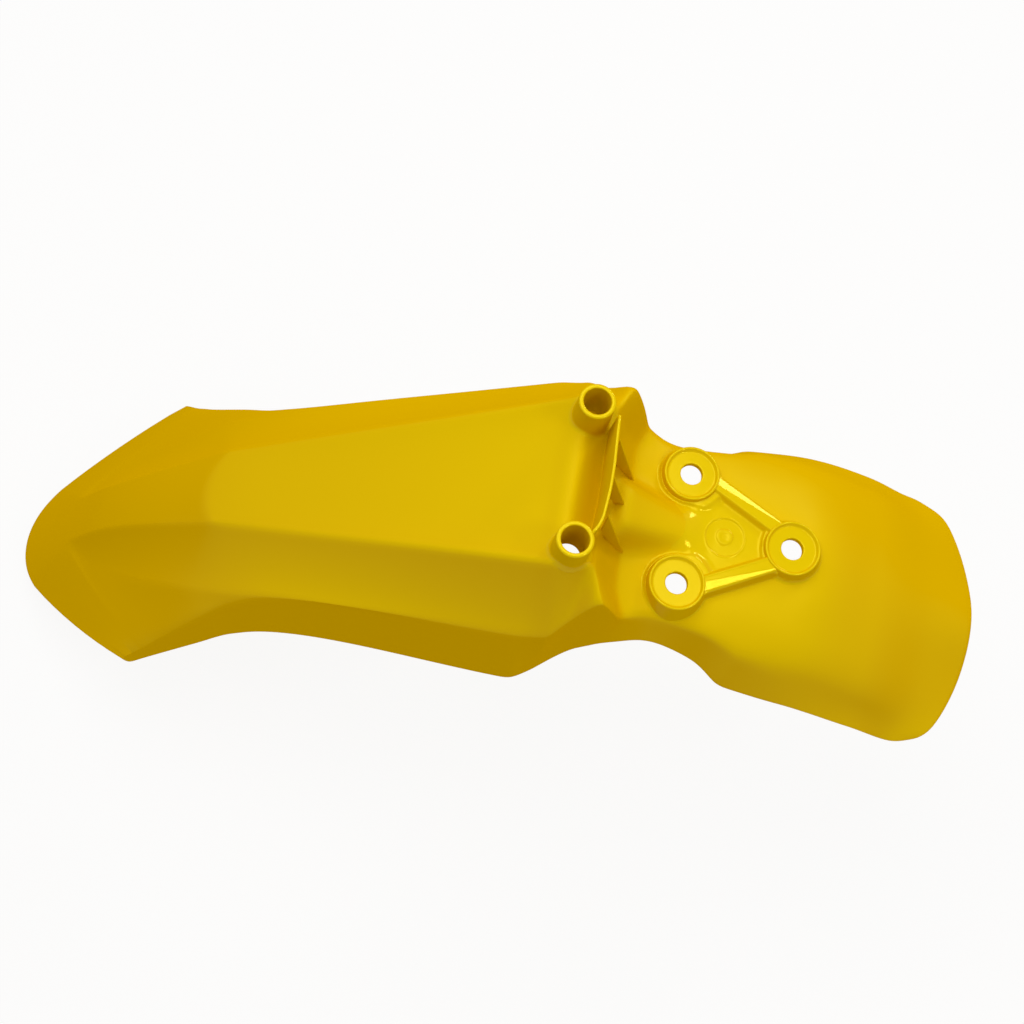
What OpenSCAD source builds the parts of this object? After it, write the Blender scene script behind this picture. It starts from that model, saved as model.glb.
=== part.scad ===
// Front mudguard of a motocross motorcycle, moulded in one piece.
// X runs to the rear, Y across and Z along the axis of the bolt cups.
// The origin lies midway between the two front cups, level with their seats. Heights that
// are measured from the cup rims are drawn from there and moved up by the seats' depth.

/* [Shell] */
// Thickness of the moulded wall
wall_t = 2.5; // [2.2:0.1:3.4]
// From the front cups forward to the tip of the nose
nose_reach = 487; // [475:1:505]
// Drop of the nose tip below the cup rims
nose_drop = 338; // [328:1:350]
// From the front cups forward to the wing corners
wing_reach = 372; // [362:1:384]
// From the centre plane out to the wing corners
wing_half_w = 105; // [98:1:112]
// Drop of the wing corners below the cup rims
wing_drop = 238; // [230:1:248]
// From the front cups forward to the front ends of the two scoops
scoop_reach = 437; // [428:1:445]
// Depth of the hollow in the shoulders between the panel and the ridges
scoop_depth = 4.5; // [2:0.5:7]

/* [Top panel] */
// From the front cups forward to the bend at the front of the panel
panel_front = 326; // [315:1:335]
// Half width of the panel at that bend
panel_front_half_w = 25.5; // [22:0.5:29]
// Half width of the panel beside the tubes
panel_rear_half_w = 57; // [55:0.5:60]
// Height of the panel's edges beside the tubes
panel_rise = 54; // [51:0.5:57]
// Slope of the panel in degrees
panel_angle = 33.5; // [31:0.5:35]
// How far the panel is dished at its rear end
panel_dish = 9; // [5:0.5:11]

/* [Side walls] */
// Half width over the ridges where the side walls begin
ridge_front_half_w = 71.5; // [68:0.5:75]
// Half width over the ridges at the fork arch
ridge_rear_half_w = 89; // [86:0.5:92]
// Drop of the ridges below the panel's edges at the front
ridge_front_drop = 33; // [29:1:37]
// Drop of the ridges below the panel's edges at the rear
ridge_rear_drop = 54; // [50:1:58]
// Height of the side walls at the front
wall_front_h = 49; // [40:1:55]
// Height of the side walls at the fork arch
wall_rear_h = 58; // [50:1:64]
// Lean of the side walls out of the vertical, in degrees
wall_lean = 15.5; // [12:0.5:19]

/* [Fork arch] */
// From the front cups forward to the ears above the arch
ear_reach = 52; // [50:0.5:54]
// From the centre plane out to the ears
ear_half_w = 73; // [70:0.5:76]
// Height of the ears above the cup rims
ear_rise = 40; // [37:0.5:43]
// Half width over the hem at the waist
waist_half_w = 70.5; // [68:0.5:73]
// Drop of the hem at the waist
waist_drop = 35; // [32:0.5:38]
// Half width of the saddle at the waist, up to the fold
saddle_half_w = 61.5; // [60:0.5:64]
// Drop of the saddle below the cup rims
saddle_drop = 7; // [5.5:0.5:8]

/* [Tail] */
// From the front cups back to the tail's rear edge
tail_reach = 225; // [210:1:240]
// Drop of the rear edge at its middle
tail_drop = 82; // [74:1:90]
// From the front cups back to the tail's rear corners
tail_corner_reach = 198; // [190:1:205]
// Half width of the tail over its hem
tail_half_w = 91; // [86:1:96]
// Drop of the tail's hem at its rear corners
tail_corner_drop = 99.5; // [94:0.5:105]

/* [Bolt cups] */
// Distance between the two front cups
cup_spacing = 76; // [72:0.5:80]
// From the front cups back to the rear cup
rear_cup_reach = 72.6; // [68:0.1:78]
// Diameter of the bolt holes
bolt_hole_d = 14.7; // [12:0.1:17]
// Diameter of the flat seat inside a rim
seat_d = 31.8; // [29:0.1:33]
// Width of a rim around its seat
rim_w = 2.2; // [1.8:0.1:3]
// Depth of a seat below its rim
seat_depth = 2; // [1:0.1:3]
// Thickness of a cup's floor
cup_floor_t = 4.5; // [3:0.1:5.5]
// Depth of a cup's skirt below its rim
cup_skirt = 17; // [15:0.5:20]
// Spread of a cup's skirt down to its foot
cup_flare = 1.6; // [0.5:0.1:2.5]

/* [Tubes] */
// Distance between the two tubes
tube_spacing = 91; // [88:0.5:94]
// From the front cups forward to the tubes
tube_reach = 76; // [74:0.5:78]
// Height of the tubes' rims above the cup rims
tube_rise = 68; // [62:0.5:74]
// Outer diameter of a tube
tube_od = 23.7; // [22:0.1:26]
// Diameter of a tube's bore
tube_bore_d = 17.5; // [15:0.1:19]
// Length of a tube
tube_l = 38; // [35:0.5:44]

/* [Bars and pocket] */
// Width of a bar's top between two cups
bar_w = 9.5; // [7:0.5:11]
// From the line through two cups out to the middle of the bar's top
bar_offset = 7; // [5:0.5:8.5]
// Reach of the slope between a bar's top and the pocket
bar_slope = 4.5; // [2:0.5:6]
// Round along a bar's edges
bar_round = 1.2; // [0.5:0.1:2]
// Depth of the pocket between the bars
pocket_depth = 4.5; // [3.5:0.1:5]
// Thickness of the pocket's floor
pocket_floor_t = 3.6; // [3:0.1:5]
// Diameter of the round sunk mark in the pocket
disc_d = 25.8; // [20:0.2:28]
// Depth of that mark
disc_depth = 0.6; // [0.3:0.1:1]
// Diameter of the moulding gate's stub in the mark
gate_d = 6; // [3:0.5:11]

/* [Fin and ribs] */
// From the front cups forward to the middle of the fin
fin_reach = 58; // [57:0.5:59]
// Half length of the fin's straight middle
fin_straight = 20; // [14:0.5:24]
// Thickness of the fin
fin_t = 1.9; // [1.6:0.1:3]
// Height of the fin's top edge above the cup rims
fin_rise = 67; // [60:0.5:67.5]
// Thickness of a rib behind the fin
rib_t = 1.8; // [1.4:0.1:3]
// Distance between neighbouring ribs
rib_pitch = 25; // [20:0.5:28]
// Length of the outer ribs to the rear
rib_l = 21; // [16:0.5:23]
// Height of the hump behind the fin
hump_h = 23; // [18:0.5:26]
// Half width of the hump at the fin
hump_half_w = 28; // [24:0.5:30]
// Half width of the hump at its rear end
hump_end_half_w = 15; // [10:0.5:20]

/* [Hidden] */
round_fn = 96;
deep = 60;

// Edge of the panel: its height and half width at a place along X
panel_rear = tube_reach;
panel_len = panel_front - panel_rear;
function panel_z(x) = panel_rise + (x + panel_rear) * tan(panel_angle);
function panel_half(x) =
    panel_rear_half_w + (x + panel_rear) * (panel_rear_half_w - panel_front_half_w) / panel_len;

// Where the ridges part from the wings, and where they meet the arch
wall_front = panel_front - 61;
wall_rear = tube_reach + 19;
ridge_front_z = panel_z(-wall_front) - ridge_front_drop;
ridge_rear_z = panel_z(-wall_rear) - ridge_rear_drop;
hem_front_half = ridge_front_half_w + wall_front_h * tan(wall_lean);
hem_rear_half = ridge_rear_half_w + wall_rear_h * tan(wall_lean);
hem_front_z = ridge_front_z - wall_front_h;
hem_rear_z = ridge_rear_z - wall_rear_h;
crest_x = -fin_reach;
crest_z = panel_rise - 16;
tail_len = tail_reach - rear_cup_reach;

// The lofted half sections from nose to tail. A row holds the X and Z of the crown,
// then X, Y and Z of the crease, the ridge, the fold and the hem, and last the depth of
// the hollow between crease and ridge, the bow of the wing, how far the section is one
// smooth curve, and a 1 where the edges turn a crisp corner.
sections = [
    // front edge
    [-nose_reach - 1, -nose_drop,  3 - nose_reach, 21, 2 - nose_drop,  19 - nose_reach, 43.5, 14.5 - nose_drop,
     -wing_reach, wing_half_w, -wing_drop,  5 - wing_reach, wing_half_w + 2, -wing_drop - 4,
     -1, 0.5, 1, 0],
    // front ends of the scoops
    [-scoop_reach, 84 - nose_drop,  -scoop_reach, 17.5, 82 - nose_drop,  -scoop_reach, 25, 77 - nose_drop,
     14 - wing_reach, wing_half_w - 6, 17 - wing_drop,  18 - wing_reach, wing_half_w - 3, 4 - wing_drop,
     0, 3, 0.5, 0],
    // through the scoops
    [30 - scoop_reach, 132 - nose_drop,  30 - scoop_reach, 18, 130 - nose_drop,
     31 - scoop_reach, 41, 104 - nose_drop,
     27 - wing_reach, wing_half_w - 11, 35 - wing_drop,  29 - wing_reach, wing_half_w - 6.5, 12 - wing_drop,
     scoop_depth / 2, 2, 0, 0],
    // bend at the front of the panel
    [-panel_front - 2, panel_z(-panel_front) + 2,
     -panel_front, panel_front_half_w, panel_z(-panel_front),
     -panel_front, ridge_front_half_w - 7.5, panel_z(-panel_front) - 41,
     14 - panel_front, ridge_front_half_w + 10.5, panel_z(-panel_front) - 45,
     14 - panel_front, hem_front_half + 5.5, panel_z(-panel_front) - 86,  scoop_depth, 0, 0, 0],
    // just behind the bend
    [26 - panel_front, panel_z(26 - panel_front),
     26 - panel_front, panel_half(26 - panel_front), panel_z(26 - panel_front),
     28 - panel_front, ridge_front_half_w - 3, panel_z(26 - panel_front) - 34.5,
     34 - panel_front, ridge_front_half_w + 3, panel_z(26 - panel_front) - 34.5,
     36 - panel_front, hem_front_half + 0.5, panel_z(26 - panel_front) - 81,
     scoop_depth, 0, 0, 0],
    // front ends of the side walls
    [-wall_front, panel_z(-wall_front) - panel_dish / 6,
     -wall_front, panel_half(-wall_front), panel_z(-wall_front),
     -wall_front, ridge_front_half_w, ridge_front_z,
     -wall_front, ridge_front_half_w + 0.8, ridge_front_z - 1.6,
     -wall_front, hem_front_half - 0.5, hem_front_z,  scoop_depth, 0, 0, 0],
    // in front of the tubes
    [-wall_rear, panel_z(-wall_rear) - panel_dish,
     -wall_rear, panel_half(-wall_rear), panel_z(-wall_rear),
     -wall_rear, ridge_rear_half_w, ridge_rear_z,
     -wall_rear, ridge_rear_half_w + 0.8, ridge_rear_z - 1.6,
     4 - wall_rear, hem_rear_half - 0.5, hem_rear_z + 2,  scoop_depth, 0, 0, 1],
    // through the tubes
    [-tube_reach, panel_rise - 19,
     -tube_reach, panel_rear_half_w, panel_rise,
     -tube_reach - 2, ridge_rear_half_w, ridge_rear_z + 8.5,
     -tube_reach - 2, ridge_rear_half_w + 0.8, ridge_rear_z + 6,
     -tube_reach - 3, hem_rear_half - 8, hem_rear_z + 5,  scoop_depth / 2, 0, 0, 0],
    // notch between the tubes and the ears
    [crest_x - 9, crest_z - 2,
     crest_x - 10, panel_rear_half_w - 2, crest_z + 12,
     -ear_reach - 13, ear_half_w + 6.5, ear_rise - 25,
     -ear_reach - 12.5, ear_half_w + 7.3, ear_rise - 28,
     -ear_reach - 17.3, waist_half_w + 20.5, -waist_drop - 19.5,  scoop_depth / 4, 0, 0, 0],
    // crest between the ears
    [crest_x, crest_z,
     crest_x - 1.5, panel_rear_half_w - 5, crest_z + 8,
     -ear_reach, ear_half_w, ear_rise,
     1 - ear_reach, ear_half_w + 0.8, ear_rise - 2.5,
     -ear_reach - 4, waist_half_w + 13.5, -waist_drop - 5,  0, 0, 0, 0],
    // steep wall behind the fin
    [crest_x + 3.5, crest_z - 9,
     crest_x + 3.5, panel_rear_half_w - 6, crest_z - 6,
     5.5 - ear_reach, ear_half_w - 1, ear_rise - 8,
     6.5 - ear_reach, ear_half_w - 0.2, ear_rise - 11,
     4 - ear_reach, waist_half_w + 11, -waist_drop - 2,  0, 0, 0, 0],
    [crest_x + 10, crest_z - 26,
     crest_x + 10, panel_rear_half_w - 7, crest_z - 25,
     13.5 - ear_reach, ear_half_w - 3, ear_rise - 26,
     14.5 - ear_reach, ear_half_w - 2, ear_rise - 30,
     11 - ear_reach, waist_half_w + 8.5, 1 - waist_drop,  0, 0, 0, 0],
    // foot of that wall
    [crest_x + 21, -saddle_drop + 3.5,
     crest_x + 21, panel_rear_half_w - 9, -saddle_drop + 2,
     19.5 - ear_reach, saddle_half_w + 4.5, -saddle_drop + 1,
     20.5 - ear_reach, saddle_half_w + 5.3, -saddle_drop - 1.5,
     20 - ear_reach, waist_half_w + 6, 2 - waist_drop,  1, 0, 0, 0],
    // waist
    [-6, -saddle_drop,
     -6, 42, -saddle_drop - 2,
     -10, saddle_half_w - 1, -saddle_drop - 5,
     -10, saddle_half_w + 0.5, -saddle_drop - 8,
     -6, waist_half_w, -waist_drop,  -0.5, 0, 0, 0],
    // rear slope of the arch
    [24, -saddle_drop,
     24, 42, -saddle_drop - 2.5,
     24, saddle_half_w + 2.5, -saddle_drop - 8,
     24, saddle_half_w + 4.5, -saddle_drop - 12,
     24, waist_half_w + 4, -waist_drop - 11,  -0.5, 0, 0, 0],
    // rear end of the arch
    [50, -saddle_drop,
     50, 42, -saddle_drop - 5,
     50, saddle_half_w + 9, -saddle_drop - 17,
     50, saddle_half_w + 12.5, -saddle_drop - 23,
     46, tail_half_w - 5.5, -waist_drop - 23,  -1, 0, 0, 1],
    // behind the rear cup
    [rear_cup_reach + 13, -saddle_drop - 1,
     rear_cup_reach + 13, 45, -saddle_drop - 10,
     rear_cup_reach + 13, tail_half_w - 20, -saddle_drop - 23,
     rear_cup_reach + 13, tail_half_w - 14, -saddle_drop - 31,
     rear_cup_reach + 13, tail_half_w - 0.5, -waist_drop - 23.5,
     -1.5, 0, 0, 0],
    // middle of the tail
    [rear_cup_reach + tail_len * 0.45, -tail_drop * 0.41,
     rear_cup_reach + tail_len * 0.45, 45, -tail_drop * 0.41 - 8,
     rear_cup_reach + tail_len * 0.45, tail_half_w - 20, -tail_drop * 0.41 - 21,
     rear_cup_reach + tail_len * 0.45, tail_half_w - 13.5, -tail_drop * 0.41 - 29,
     rear_cup_reach + tail_len * 0.45, tail_half_w + 0.5, 23 - tail_corner_drop,
     -1.5, 0, 0.5, 0],
    // just ahead of the rear corners
    [tail_reach - 35, 19 - tail_drop,
     tail_reach - 35, 40, 8 - tail_drop,
     tail_corner_reach - 10, tail_half_w - 25, 16 - tail_corner_drop,
     tail_corner_reach - 14, tail_half_w - 14, 10 - tail_corner_drop,
     tail_corner_reach - 20, tail_half_w - 0.5, 1 - tail_corner_drop,  -1, 0, 1, 0],
    // rear edge
    [tail_reach, -tail_drop,
     tail_reach - 3, 36, -tail_drop - 12,
     tail_corner_reach + 17, tail_half_w - 28, 2 - tail_corner_drop,
     tail_corner_reach + 10, tail_half_w - 14, 1 - tail_corner_drop,
     tail_corner_reach, tail_half_w - 5.5, -tail_corner_drop,  -0.5, 0, 1, 0],
];
// Rows of facets between one section and the next
row_counts = [3, 3, 6, 3, 3, 9, 4, 2, 2, 2, 3, 4, 6, 5, 3, 4, 5, 3, 4];
// Places of the facets' corners across a half section: 1 is the crease, 2 the ridge,
// 3 the fold and 4 the hem, and each corner is bridged by a narrow facet
across = [0, 0.12, 0.24, 0.36, 0.48, 0.7, 0.94, 1.07, 1.33, 1.62, 1.94, 2.4, 2.85, 3.1, 3.5, 4];

// Smooth curve through the sections that never runs past them
last = len(sections) - 1;
columns = len(sections[0]) - 2;
crisp = columns + 1;
function step(k) = sections[k + 1][0] - sections[k][0];
function rise(k, c) = (sections[k + 1][c] - sections[k][c]) / step(k);
function between(a, b) = a * b <= 0 ? 0 : 2 * a * b / (a + b);
function lean(k, c, side) =
    k == 0 ? rise(0, c)
    : k == last ? rise(last - 1, c)
    : sections[k][crisp] == 1 ? rise(k - 1 + side, c)
    : between(rise(k - 1, c), rise(k, c));
leans = [for (side = [0, 1]) [for (k = [0:last]) [for (c = [0:columns]) lean(k, c, side)]]];
function curve(k, c, u) = let (h = step(k), v = u * u, w = v * u)
    (2 * w - 3 * v + 1) * sections[k][c] + (w - 2 * v + u) * h * leans[1][k][c]
    + (3 * v - 2 * w) * sections[k + 1][c] + (w - v) * h * leans[0][k + 1][c];
function row(k, u) =
    [for (c = [0:columns]) c == 0 ? sections[k][0] + u * step(k) : curve(k, c, u)];
rows = concat([for (k = [0:last - 1]) for (i = [0:row_counts[k] - 1]) row(k, i / row_counts[k])],
    [row(last - 1, 1)]);

// A corner of the outer skin on row r at place v across
function mix(a, b, u) = a + (b - a) * u;
function arch(u) = 4 * u * (1 - u);
hump_start = crest_x + 4;
hump_end = 12;
hump_crest = crest_x + 20;
function limit(u) = max(0, min(1, u));
function hump_top(x) = hump_h * limit((x - hump_start) / (hump_crest - hump_start))
    * pow(limit((hump_end - x) / (hump_end - hump_crest)), 0.8);
function hump(x, y) = let (w = mix(hump_half_w, hump_end_half_w, limit((x - hump_crest) / (-hump_crest))))
    hump_top(x) * (1 + cos(180 * limit((y / w - 0.4) / 0.6))) / 2;
function corner(r, n) = n == 0 ? [r[0], 0, r[1]] : [r[3 * n - 1], r[3 * n], r[3 * n + 1]];
function unit(a) = a / norm(a);
function link(r, n) = unit(corner(r, n + 1) - corner(r, n));
function swing(a, b) = 2 * (a * b) * b - a;
function heading(r, n) =
    n == 0 ? [0, 1, 0] : n < 3 ? unit(link(r, n - 1) + link(r, n)) : swing(heading(r, n - 1), link(r, n - 1));
function smooth(r, n, u) =
    let (a = corner(r, n), b = corner(r, n + 1), l = norm(b - a), v = u * u, w = v * u)
    (2 * w - 3 * v + 1) * a + (w - 2 * v + u) * l * heading(r, n)
    + (3 * v - 2 * w) * b + (w - v) * l * heading(r, n + 1);
function crown(r, v) = let (y = r[3] * v)
    [mix(r[0], r[2], v * v), y, mix(r[1], r[4], v * v) + hump(r[0], y)];
function straight(r, v) = let (n = min(floor(v), 3), u = v - n)
    v < 1 ? crown(r, v)
    : mix(corner(r, n), corner(r, n + 1), u)
        - (n == 1 ? [0, 0, r[14] * arch(u)] : [0, 0, 0])
        + (n == 2 ? [0, r[15] * arch(u), 0] : [0, 0, 0]);
function skin(r, v) = let (n = min(floor(v), 3))
    r[16] == 0 || (n == 3 && r[0] < 0) ? straight(r, v)
    : mix(straight(r, v), smooth(r, n, v - n), r[16]);
half = len(across) - 1;
width = 2 * half + 1;
function other(p) = [p[0], -p[1], p[2]];
outer = [for (r = rows) [for (j = [-half:half])
    j < 0 ? other(skin(r, across[-j])) : skin(r, across[j])]];

// The inner skin lies one wall thickness behind the outer
top = len(rows) - 1;
function inward(i, j) = unit(cross(
    outer[i][min(j + 1, width - 1)] - outer[i][max(j - 1, 0)],
    outer[min(i + 1, top)][j] - outer[max(i - 1, 0)][j]));
inner = [for (i = [0:top]) [for (j = [0:width - 1]) outer[i][j] + wall_t * inward(i, j)]];

function flat(a) = [for (b = a) for (c = b) c];
function quad(a, b, c, d) = [[a, b, c], [a, c, d]];
count = (top + 1) * width;
function at(i, j) = i * width + j;
shell_faces = flat(concat(
    [for (i = [0:top - 1]) for (j = [0:width - 2])
        quad(at(i, j), at(i, j + 1), at(i + 1, j + 1), at(i + 1, j))],
    [for (i = [0:top - 1]) for (j = [0:width - 2])
        quad(count + at(i, j), count + at(i + 1, j), count + at(i + 1, j + 1), count + at(i, j + 1))],
    [for (j = [0:width - 2], i = [0, top])
        i == 0 ? quad(at(i, j), count + at(i, j), count + at(i, j + 1), at(i, j + 1))
        : quad(at(i, j), at(i, j + 1), count + at(i, j + 1), count + at(i, j))],
    [for (i = [0:top - 1], j = [0, width - 1])
        j == 0 ? quad(at(i, j), at(i + 1, j), count + at(i + 1, j), count + at(i, j))
        : quad(at(i, j), count + at(i, j), count + at(i + 1, j), at(i + 1, j))]));

module shell() {
    polyhedron(points = flat(concat(outer, inner)), faces = shell_faces, convexity = 10);
}

// Bolt cups: a rounded rim around a flat seat, and a skirt down into the shell
cup_places = [[0, cup_spacing / 2], [0, -cup_spacing / 2], [rear_cup_reach, 0]];
seat_r = seat_d / 2;
cup_r = seat_r + rim_w;
core_r = seat_r - 0.4;
function quarter(cx, cz, r, from, to) =
    [for (i = [0:6]) let (a = from + (to - from) * i / 6) [cx + r * cos(a), cz + r * sin(a)]];

module cup() {
    rotate_extrude($fn = round_fn)
        polygon(concat(
            [[0, -seat_depth - cup_floor_t], [0, -seat_depth], [seat_r, -seat_depth]],
            quarter(cup_r - rim_w / 2, -rim_w / 2, rim_w / 2, 180, 0),
            [[cup_r + cup_flare, -cup_skirt], [core_r, -cup_skirt],
             [core_r, -seat_depth - cup_floor_t]]));
}

// Bars between the front cups and the rear cup, with a round outer edge
bar_run = norm([rear_cup_reach, cup_spacing / 2]);
bar_turn = atan2(cup_spacing / 2, rear_cup_reach);
bar_depth = saddle_drop + 4;
bar_from = bar_offset - bar_w / 2;
bar_to = bar_offset + bar_w / 2;

module bar() {
    translate([0, cup_spacing / 2, 0])
        rotate([0, 0, -bar_turn])
            translate([seat_r, 0, -0.6])
                rotate([90, 0, 90])
                    linear_extrude(height = bar_run - 2 * seat_r)
                        polygon(concat(
                            [[bar_from - bar_slope, -bar_depth], [bar_from - bar_slope, -pocket_depth]],
                            quarter(bar_from + bar_round / 2, -bar_round, bar_round, 140, 90),
                            [[bar_offset + 0.5, -0.2]],
                            quarter(bar_to - bar_round, -bar_round - 1.2, bar_round, 80, 10),
                            [[bar_to + 2.5, -bar_depth]]));
}

// Pocket floor between the bars, with a plain sunk disc
pocket_front = 2;
pocket_rear = rear_cup_reach - cup_r;
disc_x = 28;

module pocket() {
    difference() {
        translate([0, 0, -pocket_depth - pocket_floor_t])
            linear_extrude(height = pocket_floor_t)
                polygon([[pocket_front, -cup_spacing / 2 + seat_r - 1],
                    [cup_r + 1, -cup_spacing / 2 + 6],
                    [pocket_rear, -bar_from - 9],
                    [pocket_rear, bar_from + 9],
                    [cup_r + 1, cup_spacing / 2 - 6],
                    [pocket_front, cup_spacing / 2 - seat_r + 1]]);
        translate([disc_x, 0, -pocket_depth - disc_depth])
            cylinder(d = disc_d, h = deep, $fn = round_fn);
    }
    translate([disc_x, 0, -pocket_depth - pocket_floor_t / 2])
        cylinder(d = gate_d, h = pocket_floor_t / 2, $fn = round_fn);
}

// Tubes with rounded rims
tube_r = tube_od / 2;
tube_foot = tube_rise - tube_l;
tube_round = (tube_r - tube_bore_d / 2) * 0.45;

module tube() {
    rotate_extrude($fn = round_fn)
        polygon(concat(
            [[0, tube_foot], [tube_r, tube_foot]],
            quarter(tube_r - tube_round, tube_rise - tube_round, tube_round, 0, 90),
            [[0, tube_rise]]));
}

// Thin fin that joins the tops of the tubes, and the ribs behind it
fin_half = tube_spacing / 2 - 4.5;
fin_steps = 20;
fin_bend = (tube_reach - fin_reach - tube_r * 0.9) / pow(fin_half - fin_straight, 2.5);
fin_foot = crest_z - 2;
fin_end_foot = crest_z + 3;
function fin_x(y) = -fin_reach - fin_bend * pow(max(0, abs(y) - fin_straight), 2.5);
function fin_side(shift) =
    [for (i = [-fin_steps:fin_steps]) let (y = i * fin_half / fin_steps) [fin_x(y) + shift, y]];
function backwards(a) = [for (i = [len(a) - 1:-1:0]) a[i]];

module fin() {
    intersection() {
        linear_extrude(height = fin_rise)
            polygon(concat(fin_side(fin_t / 2), backwards(fin_side(-fin_t / 2))));
        translate([-tube_reach, 0, 0])
            rotate([90, 0, 90])
                linear_extrude(height = 2 * (tube_reach - fin_reach))
                    polygon([[-fin_half, fin_end_foot], [-fin_straight, fin_foot], [fin_straight, fin_foot],
                        [fin_half, fin_end_foot], [fin_half, fin_rise + 1], [-fin_half, fin_rise + 1]]);
    }
}

module rib(foot) {
    rotate([90, 0, 0])
        linear_extrude(height = rib_t, center = true)
            polygon(concat([[crest_x, fin_rise - 3.5]], foot, [[crest_x, crest_z - 3]]));
}

module ribs() {
    for (side = [-1, 1])
        translate([0, side * rib_pitch, 0])
            rib([[crest_x + rib_l, 5 - saddle_drop], [crest_x + rib_l - 1, 1.5 - saddle_drop],
                [crest_x + 13, 3], [crest_x + 8, 13]]);
    rib([[crest_x + 13.5, hump_h - 1], [crest_x + 13.5, hump_h - 5], [crest_x + 8, hump_h - 5]]);
}

module mudguard() {
    color("gold")
        translate([0, 0, seat_depth])
        difference() {
            union() {
                difference() {
                    shell();
                    for (place = cup_places)
                        translate([place[0], place[1], -deep])
                            cylinder(r = core_r + 0.8, h = deep + 10, $fn = round_fn);
                }
                for (place = cup_places)
                    translate([place[0], place[1], 0])
                        cup();
                bar();
                mirror([0, 1, 0])
                    bar();
                pocket();
                for (side = [-1, 1])
                    translate([-tube_reach, side * tube_spacing / 2, 0])
                        tube();
                fin();
                ribs();
            }
            for (place = cup_places)
                translate([place[0], place[1], -deep / 2])
                    cylinder(d = bolt_hole_d, h = deep, $fn = round_fn);
            for (side = [-1, 1])
                translate([-tube_reach, side * tube_spacing / 2, tube_foot - 5])
                    cylinder(d = tube_bore_d, h = tube_l + 10, $fn = round_fn);
        }
}

mudguard();
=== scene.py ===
import math

import bpy
import numpy as np
from mathutils import Matrix, Vector
from mathutils.bvhtree import BVHTree
from mathutils.kdtree import KDTree


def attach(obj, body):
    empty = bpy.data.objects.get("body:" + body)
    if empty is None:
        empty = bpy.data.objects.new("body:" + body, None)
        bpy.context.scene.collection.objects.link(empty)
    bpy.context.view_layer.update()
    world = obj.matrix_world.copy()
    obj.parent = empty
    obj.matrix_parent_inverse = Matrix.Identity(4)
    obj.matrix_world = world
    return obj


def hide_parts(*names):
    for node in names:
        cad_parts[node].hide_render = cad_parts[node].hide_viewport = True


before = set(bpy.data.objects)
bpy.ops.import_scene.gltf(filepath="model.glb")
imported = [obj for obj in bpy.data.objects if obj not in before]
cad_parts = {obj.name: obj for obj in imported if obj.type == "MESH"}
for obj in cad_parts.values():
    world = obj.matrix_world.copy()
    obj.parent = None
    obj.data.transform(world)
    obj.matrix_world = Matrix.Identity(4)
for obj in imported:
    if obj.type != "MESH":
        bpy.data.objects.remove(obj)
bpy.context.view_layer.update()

mm = 0.001
print("frame loaded")


# small helpers

def deselectAll():
    for thing in list(bpy.context.selected_objects):
        thing.select_set(False)


def addedPiece(name):  # the primitive just added, under its own name
    piece = bpy.context.object
    piece.name = name
    piece.data.name = name
    return piece


def editAll(piece):
    deselectAll()
    piece.select_set(True)
    bpy.context.view_layer.objects.active = piece
    bpy.ops.object.mode_set(mode="EDIT")
    bpy.ops.mesh.select_all(action="SELECT")


def leaveEdit():
    bpy.ops.object.mode_set(mode="OBJECT")


def corners(piece):
    flat = np.empty(len(piece.data.vertices) * 3)
    piece.data.vertices.foreach_get("co", flat)
    return flat.reshape(-1, 3)


def setCorners(piece, places):
    piece.data.vertices.foreach_set("co", np.asarray(places, float).ravel())
    piece.data.update()


def applyModifier(piece, kind, **settings):
    modifier = piece.modifiers.new(kind.title(), kind)
    for key, value in settings.items():
        setattr(modifier, key, value)
    deselectAll()
    piece.select_set(True)
    bpy.context.view_layer.objects.active = piece
    bpy.ops.object.modifier_apply(modifier=modifier.name)


def smooth(piece, angle):
    deselectAll()
    piece.select_set(True)
    bpy.context.view_layer.objects.active = piece
    bpy.ops.object.shade_smooth_by_angle(angle=math.radians(angle))


def joinPieces(pieces, name):
    deselectAll()
    for piece in pieces:
        piece.select_set(True)
    bpy.context.view_layer.objects.active = pieces[0]
    bpy.ops.object.join()
    return addedPiece(name)


def mix(a, b, u):
    return a + (b - a) * u


def limit(u):
    return np.clip(u, 0.0, 1.0)


def ease(u):  # 0 to 1 with soft ends
    u = limit(u)
    return u * u * (3 - 2 * u)


def softMax(a, b, r):  # the higher of two heights, with a fillet between them
    h = limit(0.5 + 0.5 * (a - b) / r)
    return mix(b, a, h) + r * h * (1 - h)


def softMin(a, b, r):
    return -softMax(-a, -b, r)


def unitRows(rows):
    return rows / np.linalg.norm(rows, axis=1, keepdims=True)


# the shell, lofted from nose to tail

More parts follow.
